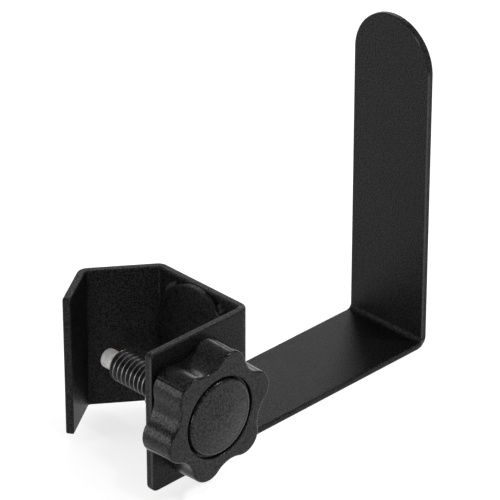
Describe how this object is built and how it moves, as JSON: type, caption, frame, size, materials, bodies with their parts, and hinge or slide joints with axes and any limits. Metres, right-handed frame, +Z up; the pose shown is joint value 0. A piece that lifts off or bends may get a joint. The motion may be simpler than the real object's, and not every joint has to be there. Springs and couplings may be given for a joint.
{
  "type": "headphone hook",
  "caption": "Clamp-on headphone hook: bent steel V-jaw clamp with a star-knob screw, and a wide U-bent steel strip that the headband hangs on.",
  "frame": {"origin": "middle of the arm's top face, where the headband hangs", "axes": "+X along the arm from the clamp to the upright plate, +Y along the clamp screw away from its knob, +Z up"},
  "size_m": [0.1005, 0.0519, 0.0871],
  "materials": {
    "powder_coat": "fine-grained satin black powder coat on steel",
    "black_steel": "black oxide",
    "nylon": "off-white, satin",
    "knob_plastic": "satin black, moulded",
    "cap_plastic": "matte black, moulded"
  },
  "bodies": {
    "root": {"clamp_bracket": "powder_coat", "hook_strip": "powder_coat", "tab_welds": "powder_coat", "weld_nut": "black_steel"},
    "tip": {"screw_tip": "nylon"},
    "screw": {"clamp_screw": "black_steel", "knob_body": "knob_plastic", "knob_cap": "cap_plastic"}
  },
  "joints": [
    {"name": "screw_travel", "type": "slide", "parent": "root", "child": "tip", "axis": [0, 1, 0], "range_m": [-0.018, 0.0007]},
    {"name": "knob_turn", "type": "hinge", "parent": "tip", "child": "screw", "pos_m": [-0.051, 0, 0.0199], "axis": [0, 1, 0], "range_deg": [-4590, 170]}
  ],
  "couplings": [
    {"joint": "screw_travel", "follows": "knob_turn", "m_per_rad": 0.00022459}
  ]
}
